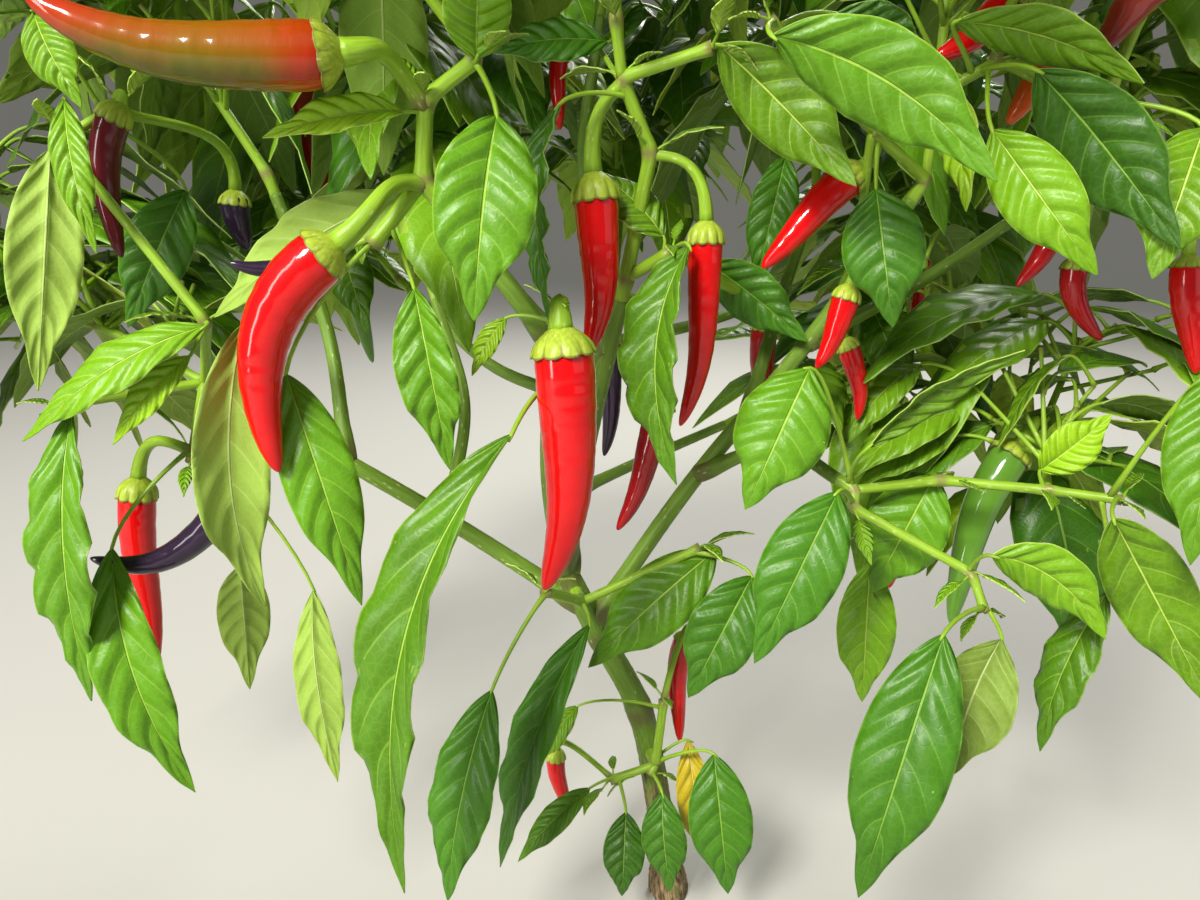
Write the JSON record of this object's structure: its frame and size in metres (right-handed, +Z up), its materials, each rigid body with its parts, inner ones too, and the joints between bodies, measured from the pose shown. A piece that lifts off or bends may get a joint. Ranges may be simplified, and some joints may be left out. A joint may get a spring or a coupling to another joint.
{
  "type": "chilli pepper plant",
  "caption": "Rooted chilli pepper plant: a low-forking green stem, spreading boughs, drooping pointed leaves and hanging red fruits.",
  "frame": {"origin": "middle of the flat cut under the main stem, at ground level", "axes": "+Z up; +Y away from the side the plant is looked at from; +X to the right of that side"},
  "size_m": [0.573, 0.3743, 0.5067],
  "materials": {
    "stem_skin": "satin green, ribbed, corky at the foot",
    "foliage": "satin leaves with pale veins"
  },
  "bodies": {
    "root": {"main_stem": "stem_skin", "front_bough": "stem_skin", "centre_bough": "stem_skin", "back_bough": "stem_skin", "left_bough": "stem_skin", "right_bough": "stem_skin", "left_front_bough": "stem_skin", "low_right_bough": "stem_skin", "right_outer_bough": "stem_skin", "left_high_bough": "stem_skin", "back_left_bough": "stem_skin", "back_right_bough": "stem_skin", "inner_left_bough": "stem_skin", "inner_right_bough": "stem_skin", "low_back_bough": "stem_skin", "top_bough": "stem_skin", "front_spray": "foliage", "left_front_spray": "foliage", "centre_front_spray": "foliage", "right_top_spray": "foliage", "right_low_spray": "foliage", "left_spray": "foliage", "middle_spray": "foliage", "foot_shoots": "foliage", "left_high_spray": "foliage", "right_outer_spray": "foliage", "back_left_spray": "foliage", "back_spray": "foliage", "back_right_spray": "foliage", "inner_left_spray": "foliage", "inner_right_spray": "foliage", "low_back_spray": "foliage", "top_spray": "foliage"}
  },
  "joints": []
}
